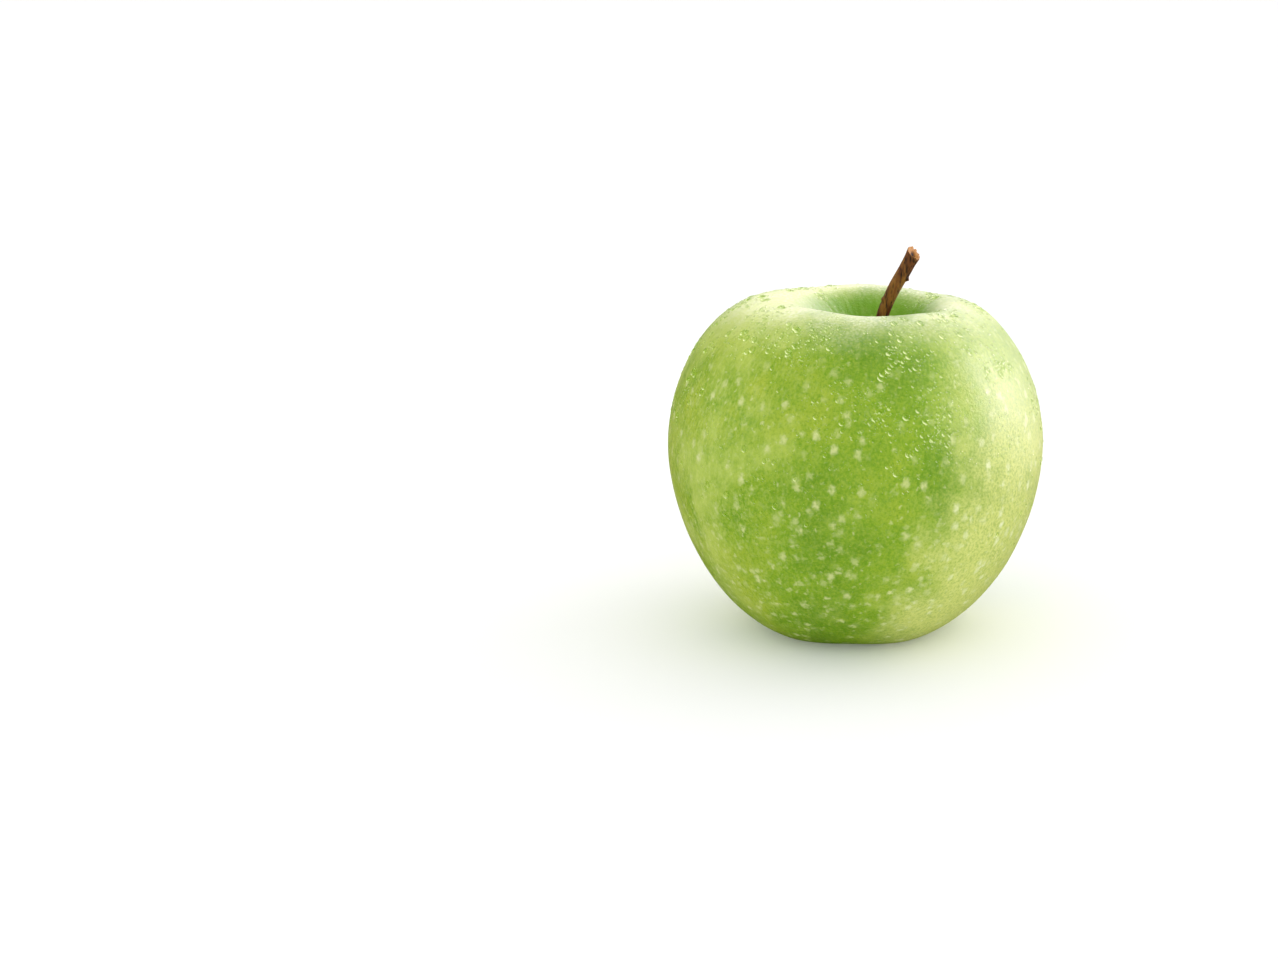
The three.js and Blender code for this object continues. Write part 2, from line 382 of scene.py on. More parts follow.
    def greens(self, skin: SkinMap) -> list[tuple[Socket, str]]:
        """Draws the green itself: broad patches and mottling, lighter to the left, and a fine grain.

        Args:
            skin: The shared readings.

        Returns:
            Shares and the greens that they lay over the deep one, in order.
        """
        tree = skin.tree
        tone = add_node(tree, "TexNoise", self.patches.over(skin.place))
        for reading, weight in ((skin.leftness, self.left_tone), (skin.mottle, self.mottle_tone)):
            tone = add_node(tree, "Math", {0: reading, 1: weight, 2: tone}, operation="MULTIPLY_ADD")
        return [
            (add_node(tree, "MapRange", self.middle_green.of(tone), **SMOOTH), self.middle),
            (add_node(tree, "MapRange", self.light_green.of(tone), **SMOOTH), self.light),
            (add_node(tree, "MapRange", self.light_grain.of(skin.grain)), self.light),
            (add_node(tree, "MapRange", self.deep_grain.of(skin.grain)), self.deep),
        ]

    def bloom_share(self, skin: SkinMap) -> Socket:
        """Draws the pale bloom, which lies in soft patches, most of it on the left and the crown; on the
        crown it is partly painted sheen.
        """
        tree = skin.tree
        shifted = add_node(tree, "VectorMath", {0: skin.place, 1: self.bloom_shift})
        bloom = add_node(tree, "TexNoise", self.clouds.over(shifted))
        crown = add_node(tree, "MapRange", self.crown.of(skin.height), **SMOOTH)
        for reading, weight in ((skin.leftness, self.left_bloom), (crown, self.crown_bloom_and_sheen)):
            bloom = add_node(tree, "Math", {0: reading, 1: weight, 2: bloom}, operation="MULTIPLY_ADD")
        return add_node(tree, "MapRange", self.bloom_edge.of(bloom), **SMOOTH)

    def cheek_and_sheen_share(self, skin: SkinMap) -> Socket:
        """Draws the pale right cheek, partly the skin's own paler tone and partly painted sheen of the
        lights on the right, pale all the way down.
        """
        tree = skin.tree
        right = {0: skin.outward, 1: self.right}
        right = add_node(tree, "VectorMath", right, out=1, operation="DOT_PRODUCT")
        lowness = add_node(tree, "MapRange", self.lowness.of(skin.height))
        right = add_node(tree, "Math", {0: right, 1: lowness}, operation="ADD")
        right = {0: skin.cloud, 1: self.cheek_and_sheen_clouds, 2: right}
        right = add_node(tree, "Math", right, operation="MULTIPLY_ADD")
        cheek_and_sheen = add_node(tree, "MapRange", self.cheek_and_sheen_edge.of(right), **SMOOTH)
        under_shoulder = add_node(tree, "MapRange", self.under_shoulder.of(skin.height))
        grainy = add_node(tree, "MapRange", self.cheek_and_sheen_grain.of(skin.grain))
        for share in (under_shoulder, grainy, skin.spread):
            cheek_and_sheen = add_node(tree, "Math", {0: cheek_and_sheen, 1: share}, operation="MULTIPLY")
        return cheek_and_sheen

    def streak_share(self, skin: SkinMap) -> Socket:
        """Draws pale streaks along the meridians, strongest on the left."""
        tree = skin.tree
        streaks = add_node(tree, "TexNoise", self.streaks.over(skin.meridian))
        streaks = add_node(tree, "MapRange", self.streak_edge.of(streaks))
        level = add_node(tree, "MapRange", self.streak_level.of(skin.leftness))
        for share in (level, skin.spread):
            streaks = add_node(tree, "Math", {0: streaks, 1: share}, operation="MULTIPLY")
        return streaks

    def hollow_shares(self, skin: SkinMap, form: FruitForm) -> tuple[Socket, Socket, Socket]:
        """Draws the stem cavity and the basin round the calyx.

        Args:
            skin: The shared readings.
            form: The fruit's sizes, which place both.

        Returns:
            Shares of the cavity's own green, of the russet where the stem leaves it, and of the basin.
        """
        tree = skin.tree
        mouth = Ramp(form.crown_radius * 0.98, form.crown_radius * 0.55)
        cavity = add_node(tree, "MapRange", mouth.of(skin.radius), **SMOOTH)
        clearing = add_node(tree, "MapRange", self.clearing.of(skin.mottle))
        for share in (skin.upper, clearing):
            cavity = add_node(tree, "Math", {0: cavity, 1: share}, operation="MULTIPLY")
        floor = form.crown_height - form.cavity_depth
        by_stem = Ramp(floor + self.by_stem_height, floor)
        by_stem = add_node(tree, "MapRange", by_stem.of(skin.height))
        for share in (cavity, skin.mottle):
            by_stem = add_node(tree, "Math", {0: by_stem, 1: share}, operation="MULTIPLY")
        low = {0: skin.height, 1: self.basin_height}
        lip = Ramp(form.foot_radius * 0.8, form.foot_radius * 0.2, 0.0, 0.5)
        basin = {
            0: add_node(tree, "MapRange", lip.of(skin.radius), **SMOOTH),
            1: add_node(tree, "Math", low, operation="LESS_THAN"),
        }
        return cavity, by_stem, add_node(tree, "Math", basin, operation="MULTIPLY")

    def mist_and_sheen_share(self, skin: SkinMap, form: FruitForm) -> Socket:
        """Draws water too fine to stand as drops, which lies on the crown like breath on a glass; its
        whiteness on the top of the crown is partly painted sheen.
        """
        tree = skin.tree
        cells = {"Vector": skin.place, "Scale": 1 / self.film_grain}
        mist_and_sheen = add_node(tree, "TexVoronoi", cells, out="Distance")
        mist_and_sheen = add_node(tree, "MapRange", self.film_edge.of(mist_and_sheen))
        outside = Ramp(form.crown_radius * 0.6, form.crown_radius * 0.95)
        limits = (
            self.on_top.of(skin.height),
            self.film_gathering.of(skin.cloud),
            outside.of(skin.radius),
        )
        for limit in limits:
            share = add_node(tree, "MapRange", limit)
            mist_and_sheen = add_node(tree, "Math", {0: mist_and_sheen, 1: share}, operation="MULTIPLY")
        return mist_and_sheen

    def dot_share(self, skin: SkinMap) -> Socket:
        """Draws the dots, one layer on another, with ragged edges and faint halos."""
        tree = skin.tree
        ragged = add_node(tree, "TexNoise", self.ragged.over(skin.place), out=1)
        wandering = {0: ragged, 1: (self.ragged_reach,) * 3, 2: skin.place}
        wandering = add_node(tree, "VectorMath", wandering, operation="MULTIPLY_ADD")
        all_dots = None
        for layer in self.dots:
            squeezed = {0: wandering, 1: tuple(1 / s for s in layer.stretch), 2: (layer.offset,) * 3}
            squeezed = add_node(tree, "VectorMath", squeezed, operation="MULTIPLY_ADD")
            cells = {"Vector": squeezed, "Scale": 1 / layer.spacing}
            distance = add_node(tree, "TexVoronoi", cells, out="Distance")
            halo = Ramp(layer.edge / layer.spacing, layer.core / layer.spacing)
            spot = add_node(tree, "MapRange", halo.of(distance), **SMOOTH)
            spot = add_node(tree, "Math", {0: spot, 1: self.halo_falloff}, operation="POWER")
            luck = add_node(tree, "SeparateColor", {0: distance.node.outputs["Color"]})
            luck = add_node(tree, "MapRange", self.dot_luck.of(luck))
            fade_in = add_node(tree, "MapRange", Ramp(*layer.low).of(skin.height))
            fade_out = Ramp(layer.high[1], layer.high[0], 0.0, layer.strength)
            fade_out = add_node(tree, "MapRange", fade_out.of(skin.height))
            band = add_node(tree, "Math", {0: fade_in, 1: fade_out}, operation="MULTIPLY")
            for share in (luck, band):
                spot = add_node(tree, "Math", {0: spot, 1: share}, operation="MULTIPLY")
            if all_dots is None:
                all_dots = spot
            else:
                all_dots = add_node(tree, "Math", {0: all_dots, 1: spot}, operation="MAXIMUM")
        return all_dots

    def make(self, form: FruitForm) -> bpy.types.Material:
        """Builds the material for a fruit of this form.

        Args:
            form: The fruit's sizes, which place the cavity and the basin.

        Returns:
            The material, drawn on object coordinates.
        """
        material, tree = new_material("apple_skin_waxed")
        skin = self.survey(tree, form)
        cheek_and_sheen = self.cheek_and_sheen_share(skin)
        cavity, by_stem, basin = self.hollow_shares(skin, form)
        coats = [
            *self.greens(skin),
            (self.bloom_share(skin), self.bloom),
            # the pale right cheek: painted sheen over the skin's own paler tone
            (cheek_and_sheen, self.cheek_tone_and_sheen),
            (cavity, self.cavity),
            (self.streak_share(skin), self.pale),
            (by_stem, self.russet),
            (basin, self.pale),
            # the whitened top of the crown: fine water, partly painted sheen
            (self.mist_and_sheen_share(skin, form), self.mist_and_sheen),
        ]
        color = linear(self.deep)
        for share, coat in coats:
            color = add_node(tree, "Mix", {0: share, 6: color, 7: linear(coat)}, **COLOR_MIX)
        # Dots are whiter under the painted sheen of the right cheek.
        dot = {0: cheek_and_sheen, 6: linear(self.dot), 7: linear(self.cheek_dot_and_sheen)}
        dot = add_node(tree, "Mix", dot, **COLOR_MIX)
        color = add_node(tree, "Mix", {0: self.dot_share(skin), 6: color, 7: dot}, **COLOR_MIX)

        # The wax lies unevenly, and the pores dull it a little.
        pores = add_node(tree, "TexNoise", self.pores.over(skin.place))
        bump = add_node(tree, "Bump", {"Strength": 0.9, "Distance": 0.00014, "Height": pores})
        swells = {"Strength": 0.5, "Distance": 0.00025, "Height": skin.mottle, "Normal": bump}
        surface = {
            "Base Color": color,
            "Roughness": add_node(tree, "MapRange", self.wax_roughness.of(skin.grain)),
            "Normal": add_node(tree, "Bump", swells),
            "IOR": 1.45,
            "Specular IOR Level": 0.32,
            "Subsurface Weight": 0.1,
            "Subsurface Radius": (1.0, 0.9, 0.25),
            "Subsurface Scale": 0.0006,
            "Coat Weight": 0.12,
            "Coat Roughness": 0.28,
            "Coat IOR": 1.45,
        }
        add_node(tree, "OutputMaterial", {"Surface": add_node(tree, "BsdfPrincipled", surface)})
        return material


@dataclass(frozen=True)
class StemBark:
    """Dry apple wood with its thin bark on, and the torn fibres of the end where it left the tree.

    The bark is matt and runs in dark and light ridges along the stem; the torn end is pale amber, with
    painted shade in the middle of its hollow.
    """

    dark: str = "#1f0f07"
    brown: str = "#74421a"
    red: str = "#66260b"
    olive: str = "#9c6a28"
    grey: str = "#8f7656"
    torn: str = "#9c5d22"
    torn_pale: str = "#dda55c"
    # Painted shade for the middle of the torn end's hollow.
    painted_hollow_shade: str = "#2a1207"
    fibres_per_metre: tuple[float, float, float] = (1900.0, 1900.0, 260.0)  # across, across and along

    # Shares of the stem's length.
    reddening: Ramp = Ramp(0.68, 0.42)
    torn_end: Ramp = Ramp(0.885, 0.9)
    hollow_middle: Ramp = Ramp(0.945, 0.97)
    # Shares of a colour, from the strength of a pattern.
    olive_blotch: Ramp = Ramp(0.46, 0.62, 0.0, 0.8)
    furrow: Ramp = Ramp(0.52, 0.38, 0.0, 0.9)
    grey_ridge: Ramp = Ramp(0.62, 0.78, 0.0, 0.5)

    def make(self) -> bpy.types.Material:
        """Builds the material on the stem's own UV map: U goes round it and V along it."""
        material, tree = new_material("apple_wood_bark")
        along = add_node(tree, "SeparateXYZ", {0: add_node(tree, "TexCoord", out="UV")}, out=1)
        place = add_node(tree, "TexCoord", out="Object")
        drawn = add_node(tree, "VectorMath", {0: place, 1: self.fibres_per_metre}, operation="MULTIPLY")
        fibres = {"Vector": drawn, "Scale": 1.0, "Detail": 5.0, "Roughness": 0.65}
        fibres = add_node(tree, "TexNoise", fibres)
        blotches = add_node(tree, "TexNoise", {"Vector": drawn, "Scale": 0.3, "Detail": 3.0})
        color = linear(self.brown)
        coats = (
            (add_node(tree, "MapRange", self.reddening.of(along), **SMOOTH), self.red),
            (add_node(tree, "MapRange", self.olive_blotch.of(blotches)), self.olive),
            (add_node(tree, "MapRange", self.furrow.of(fibres)), self.dark),
            (add_node(tree, "MapRange", self.grey_ridge.of(fibres)), self.grey),
        )
        for share, coat in coats:
            color = add_node(tree, "Mix", {0: share, 6: color, 7: linear(coat)}, **COLOR_MIX)
        torn = {0: fibres, 6: linear(self.torn), 7: linear(self.torn_pale)}
        torn = add_node(tree, "Mix", torn, **COLOR_MIX)
        # Painted shade darkens the middle of the torn end's hollow.
        inside = add_node(tree, "MapRange", self.hollow_middle.of(along))
        torn = add_node(tree, "Mix", {0: inside, 6: torn, 7: linear(self.painted_hollow_shade)}, **COLOR_MIX)
        end = add_node(tree, "MapRange", self.torn_end.of(along))
        surface = {
            "Base Color": add_node(tree, "Mix", {0: end, 6: color, 7: torn}, **COLOR_MIX),
            "Roughness": 0.6,
            "Normal": add_node(tree, "Bump", {"Strength": 0.8, "Distance": 0.00018, "Height": fibres}),
            "Specular IOR Level": 0.25,
        }
        add_node(tree, "OutputMaterial", {"Surface": add_node(tree, "BsdfPrincipled", surface)})
        return material


@dataclass(frozen=True)
class DriedLeaf:
    """A sepal that has dried on the fruit: olive brown, downy and grey on its face, dark at its tip."""

    base: str = "#8a8a4e"
    brown: str = "#5d4a28"
    tip: str = "#33190d"
    down: str = "#b3a887"
    crinkles_per_metre: float = 1600.0
    crinkle_age: float = 0.5  # how much a crinkle ages the blade, beside its place along it
    browning: Ramp = Ramp(0.35, 0.8)
    darkening: Ramp = Ramp(0.95, 1.2)
    downy: Ramp = Ramp(0.55, 0.75, 0.0, 0.6)

    def make(self) -> bpy.types.Material:
        """Builds the material on the blade's own UV map: V runs from its base to its tip."""
        material, tree = new_material("dried_sepal_leaf")
        place = add_node(tree, "TexCoord", out="Object")
        along = add_node(tree, "SeparateXYZ", {0: place.node.outputs["UV"]}, out=1)
        crinkle = {"Vector": place, "Scale": self.crinkles_per_metre, "Detail": 4.0, "Roughness": 0.65}
        crinkle = add_node(tree, "TexNoise", crinkle)
        age = {0: crinkle, 1: self.crinkle_age, 2: along}
        age = add_node(tree, "Math", age, operation="MULTIPLY_ADD")
        color = linear(self.base)
        coats = (
            (self.browning.of(age), self.brown),
            (self.darkening.of(age), self.tip),
            (self.downy.of(crinkle), self.down),
        )
        for reach, coat in coats:
            share = add_node(tree, "MapRange", reach)
            color = add_node(tree, "Mix", {0: share, 6: color, 7: linear(coat)}, **COLOR_MIX)
        surface = {
            "Base Color": color,
            "Roughness": 0.85,
            "Normal": add_node(tree, "Bump", {"Strength": 0.7, "Distance": 0.0001, "Height": crinkle}),
            "Sheen Weight": 0.35,
            "Sheen Roughness": 0.6,
        }
        add_node(tree, "OutputMaterial", {"Surface": add_node(tree, "BsdfPrincipled", surface)})
        return material


@dataclass(frozen=True)
class DriedThread:
    """Dried stamens: dark brown threads with paler, crumbling anthers."""

    thread: str = "#3d2413"
    anther: str = "#8a6237"
    crumbs_per_metre: float = 2600.0
    crumbling: Ramp = Ramp(0.4, 0.65)

    def make(self) -> bpy.types.Material:
        """Builds the material on object coordinates."""
        material, tree = new_material("dried_stamen_thread")
        place = add_node(tree, "TexCoord", out="Object")
        crumbs = {"Vector": place, "Scale": self.crumbs_per_metre, "Detail": 3.0}
        crumbs = add_node(tree, "TexNoise", crumbs)
        share = add_node(tree, "MapRange", self.crumbling.of(crumbs))
        color = {0: share, 6: linear(self.thread), 7: linear(self.anther)}
        surface = {"Base Color": add_node(tree, "Mix", color, **COLOR_MIX), "Roughness": 0.9}
        add_node(tree, "OutputMaterial", {"Surface": add_node(tree, "BsdfPrincipled", surface)})
        return material


@dataclass(frozen=True)
class Water:
    """Clear water standing in beads on the wax: sharp glints, a dark rim and a bright crescent.

    A bead works as a lens: it gathers the light on its far side and leaves its rim dim. Both are painted:
    the mesh carries a painted bright crescent and a painted dark rim as an attribute, and both glow a
    little, so that the crescent shows as strongly as on the real thing.
    """

    rim: str = "#8fb32a"
    painted_rim_glow: str = "#5c7a18"
    painted_caustic: str = "#f4f6c4"
    body: float = 0.04
    rim_body: float = 0.46
    crescent_body: float = 0.4
    painted_caustic_glow: float = 0.6

    def make(self) -> bpy.types.Material:
        """Builds the material on the drops' own attribute: the painted crescent in red and the painted rim
        shade in green.
        """
        material, tree = new_material("clear_water")
        painted = add_node(tree, "Attribute", out="Color", attribute_name=DROP_LIGHT)
        crescent, rim, _ = add_node(tree, "SeparateColor", {0: painted}).node.outputs
        color, glow = (
            add_node(tree, "Mix", {0: crescent, 6: linear(code), 7: linear(self.painted_caustic)}, **COLOR_MIX)
            for code in (self.rim, self.painted_rim_glow)
        )
        alpha = self.body
        for reading, weight in ((rim, self.rim_body), (crescent, self.crescent_body)):
            alpha = add_node(tree, "Math", {0: reading, 1: weight, 2: alpha}, operation="MULTIPLY_ADD")
        surface = {
            "Base Color": color,
            "Roughness": 0.04,
            "IOR": 1.333,
            "Specular IOR Level": 1.0,
            "Alpha": alpha,
            # The painted crescent and rim glow, though there is no lamp in the drop.
            "Emission Color": glow,
            "Emission Strength": self.painted_caustic_glow,
        }
        add_node(tree, "OutputMaterial", {"Surface": add_node(tree, "BsdfPrincipled", surface)})
        return material


@dataclass(frozen=True)
class StudioPaper:
    """Seamless white studio paper, quite matt, on a table that is lit a little from below."""

    white: str = "#efefef"
    lit_from_below: float = 0.14

    def make(self) -> bpy.types.Material:
        """Builds the material."""
        material, tree = new_material("white_studio_paper")
        surface = {
            "Base Color": linear(self.white),
            "Roughness": 0.9,
            "Specular IOR Level": 0.1,
            "Emission Color": linear(self.white),
            "Emission Strength": self.lit_from_below,
        }
        add_node(tree, "OutputMaterial", {"Surface": add_node(tree, "BsdfPrincipled", surface)})
        return material


# ---------------------------------------------------------------- the fruit


@dataclass
class FruitForm:
    """The fruit's form, the same as its solid's, in millimetres above its feet."""

    cheek_radius: float = 39.0
    cheek_height: float = 38.6
    crown_radius: float = 18.0
    crown_height: float = 69.5
    cavity_depth: float = 14.0
    foot_radius: float = 15.0
    basin_depth: float = 8.0
    shoulder_reach: float = 0.59
    upper_cheek_reach: float = 0.49
    lower_cheek_reach: float = 0.49
    foot_reach: float = 0.43
    basin_lip_reach: float = 0.43
    basin_roof_reach: float = 0.33
    cavity_lip_reach: float = 0.45
    cavity_floor_reach: float = 0.3
    lobes: int = 5
    lobe_angle: float = math.radians(232)
    lobe_swell: float = 0.008
    crown_wave: float = 0.22
    foot_wave: float = 0.2
    oval_swell: float = 0.004
    oval_angle: float = math.radians(25)
    cavity_offset: float = 3.4
    high_shoulder_rise: float = 0.8
    high_shoulder_angle: float = math.radians(190)
    foot_flat: float = 0.2
    tube_radius: float = 1.9
    tube_height: float = 3.0
    tube_lip: float = 0.4
    waist: float = 10.0  # how far above and below the cheek the crown's form gives way to the feet's
    cavity_lean: tuple[float, float] = (8.0, 34.0)  # radii over which the cavity's offset fades
    curve_steps: int = 200

    def half_section(self, step: float) -> list[Vector]:
        """Draws the half section from the calyx tube round the cheek to the floor of the stem cavity.

        Args:
            step: About how far apart the points are.

        Returns:
            Points with the radius in x and the height in z.
        """
        spread = self.cheek_radius - self.crown_radius
        flare = self.cheek_radius - self.foot_radius
        rise = self.crown_height - self.cheek_height
        floor = self.crown_height - self.cavity_depth
        foot = (self.foot_radius, 0.0)
        cheek = (self.cheek_radius, self.cheek_height)
        crown = (self.crown_radius, self.crown_height)
        curves = (
            (
                (0.0, self.basin_depth),
                (self.foot_radius * self.basin_roof_reach, self.basin_depth),
                (self.foot_radius * (1 - self.basin_lip_reach), 0.0),
                foot,
            ),
            (
                foot,
                (self.foot_radius + flare * self.foot_reach, 0.0),
                (self.cheek_radius, self.cheek_height * (1 - self.lower_cheek_reach)),
                cheek,
            ),
            (
                cheek,
                (self.cheek_radius, self.cheek_height + rise * self.upper_cheek_reach),
                (self.crown_radius + spread * self.shoulder_reach, self.crown_height),
                crown,
            ),
            (
                crown,
                (self.crown_radius * (1 - self.cavity_lip_reach), self.crown_height),
                (self.crown_radius * self.cavity_floor_reach, floor + 1),
                (0.0, floor),
            ),
        )
        shares = [i / self.curve_steps for i in range(self.curve_steps + 1)]
        points = [self.on_curve(curve, share) for curve in curves for share in shares]
        # The calyx tube takes the place of the middle of the basin's roof.
        mouth = self.tube_radius + self.tube_lip
        points = [p for p in points if p.z > self.cheek_height / 2 or p.x > mouth]
        top = self.basin_depth + self.tube_height
        tube = (
            (0.0, top),
            (self.tube_radius * 0.5, top),
            (self.tube_radius * 0.9, top - 0.2),
            (self.tube_radius, top - 0.6),
            (self.tube_radius, top - 2.0),
            (self.tube_radius + 0.1, self.basin_depth + 0.2),
        )
        kept = [*(Vector((out, 0.0, height)) for out, height in tube), points[0]]
        for point in points:
            if (point - kept[-1]).length >= step:
                kept.append(point)
        if kept[-1].x < step / 2:
            kept.pop()
        return [*kept, Vector((0.0, 0.0, floor))]

    @staticmethod
    def on_curve(corners: Iterable[tuple[float, float]], share: float) -> Vector:
        """The point on a cubic Bezier curve, with its first value in x and its second in z."""
        weights = ((1 - share) ** 3, 3 * share * (1 - share) ** 2, 3 * share**2 * (1 - share), share**3)
        pairs = list(zip(weights, corners))
        return Vector((sum(w * c[0] for w, c in pairs), 0.0, sum(w * c[1] for w, c in pairs)))

    def grow(self, point: Vector) -> Vector:
        """Moves a point of the turned fruit to where growth puts it.

        Args:
            point: A point of the turned shape.

        Returns:
            Its place, with the lobes, the oval, the offset cavity and the high shoulder.
        """
        radius = math.hypot(point.x, point.y)
        angle = math.atan2(point.y, point.x)
        lobe = math.cos(self.lobes * (angle - self.lobe_angle))
        oval = math.cos(2 * (angle - self.oval_angle))
        upper = smoothstep(self.cheek_height - self.waist, self.cheek_height + self.waist, point.z)
        inward = 1 - smoothstep(*self.cavity_lean, radius)
        on_crown = upper * math.sin(math.pi * min(radius / (2 * self.crown_radius), 1))
        on_feet = (1 - upper) * math.sin(math.pi * min(radius / (2 * self.foot_radius), 1))
        swell = 1 + self.lobe_swell * lobe + self.oval_swell * oval
        shoulder = math.cos(angle - self.high_shoulder_angle)
        across = point.x * swell + self.cavity_offset * upper * inward
        height = point.z + on_crown * (self.crown_wave * lobe + self.high_shoulder_rise * shoulder)
        height = height + on_feet * self.foot_wave * (1 - lobe) - self.foot_flat
        return Vector((across, point.y * swell, height))


@dataclass
class Fruit:
    """The whole fruit's skin, one closed piece that takes the place of the plain solid."""

    form: FruitForm = field(default_factory=FruitForm)
    sides: int = 240
    row_step: float = 0.85
    pleats: int = 10
    pleat_depth: float = 0.4
    rib_depth: float = 0.05
    unevenness: float = 0.14
    swell_size: float = 17.0
    dent_size: float = 6.0
    pleat_window: tuple[float, float] = (4.5, 8.0)  # radii between which the pleats are deepest
    rib_window: tuple[float, float] = (5.0, 10.0)

    def build(self) -> tuple[bmesh.types.BMesh, Vector]:
        """Spins the half section, grows it and sets it on its feet.

        Returns:
            The mesh in millimetres about its own axis, and the shift that puts it over its solid.
        """
        bm = bmesh.new()
        section = [bm.verts.new(point) for point in self.form.half_section(self.row_step)]
        edges = [bm.edges.new(pair) for pair in zip(section, section[1:])]
        turn = {"cent": (0, 0, 0), "axis": (0, 0, 1), "angle": 2 * math.pi, "steps": self.sides}
        bmesh.ops.spin(bm, geom=[*section, *edges], use_merge=True, **turn)
        bmesh.ops.remove_doubles(bm, verts=bm.verts, dist=1e-4)
        bmesh.ops.recalc_face_normals(bm, faces=bm.faces)
        bm.normal_update()
        moves = [(vert, self.place(vert)) for vert in bm.verts]
        for vert, place in moves:
            vert.co = place
        bmesh.ops.recalc_face_normals(bm, faces=bm.faces)
        low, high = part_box("fruit")
        solid = (low + high) / 2 / MM
        spans = [(min(v.co[i] for v in bm.verts), max(v.co[i] for v in bm.verts)) for i in (0, 1)]
        middle = [sum(span) / 2 for span in spans]
        return bm, Vector((solid.x - middle[0], solid.y - middle[1], 0.0))

    def place(self, vert: bmesh.types.BMVert) -> Vector:
        """Works out where one point of the skin lies, with its pleats, ribs and unevenness.

        Args:
            vert: The point on the turned shape.

        Returns:
            Its place, never below the feet.
        """
        turned = vert.co
        form = self.form
        radius = math.hypot(turned.x, turned.y)
        angle = math.atan2(turned.y, turned.x)
        rough = noise.noise(turned / self.swell_size) + 0.4 * noise.noise(turned / self.dent_size)
        out = self.unevenness * rough * smoothstep(6, 20, radius)
        ring = Vector((math.cos(angle) * 2.2, math.sin(angle) * 2.2, 0.3))
        if turned.z < form.basin_depth + 1 and radius < form.foot_radius:
            inner, outer = self.pleat_window
            window = smoothstep(form.tube_radius, inner, radius)
            window *= 1 - smoothstep(outer, form.foot_radius, radius)
            wave = math.cos(self.pleats * (angle - form.lobe_angle) + 1.6 * noise.noise(ring))
            out += self.pleat_depth * window * (wave + 0.6 * noise.noise(ring * 5))
        if turned.z > form.cheek_height and radius < form.crown_radius:
            inner, outer = self.rib_window
            window = smoothstep(1.5, inner, radius) * (1 - smoothstep(outer, form.crown_radius, radius))
            out += self.rib_depth * window * noise.noise(ring * 6) * 2
        place = form.grow(turned + vert.normal * out)
        place.z = max(place.z, 0.0)
        return place

    def make(self) -> tuple[bpy.types.Object, Vector]:
        """Makes the dressed skin.

        Returns:
            The piece, and the shift from the drawing's axis to the frame's.
        """
        bm, shift = self.build()
        piece = finish_piece("fruit_skin", bm, AppleSkin().make(self.form), shift)
        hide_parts("fruit")
        return piece, shift


# ---------------------------------------------------------------- the stem


@dataclass
class CurvedAxis:
    """A smooth line through points, with a right-angled frame at each place on it."""

    points: tuple[tuple[float, float, float], ...]

    def at(self, share: float) -> Vector:
        """The place on the line, from 0 at its first point to 1 at its last."""
        count = len(self.points) - 1
        reach = min(max(share, 0.0), 1.0) * count
        index = min(int(reach), count - 1)
        t = reach - index
        p1, p2 = Vector(self.points[index]), Vector(self.points[index + 1])
        p0 = Vector(self.points[index - 1]) if index else 2 * p1 - p2
        p3 = Vector(self.points[index + 2]) if index + 2 <= count else 2 * p2 - p1
        return 0.5 * (
            2 * p1
            + (p2 - p0) * t
            + (2 * p0 - 5 * p1 + 4 * p2 - p3) * t**2
            + (3 * p1 - 3 * p2 + p3 - p0) * t**3
        )

    def frame(self, share: float) -> tuple[Vector, Vector, Vector]:
        """The direction along the line, the one to its +X side, and the one across both."""
        tangent = (self.at(share + 0.01) - self.at(share - 0.01)).normalized()
        side = Vector((0, 1, 0)).cross(tangent).normalized()
        return tangent, side, tangent.cross(side)


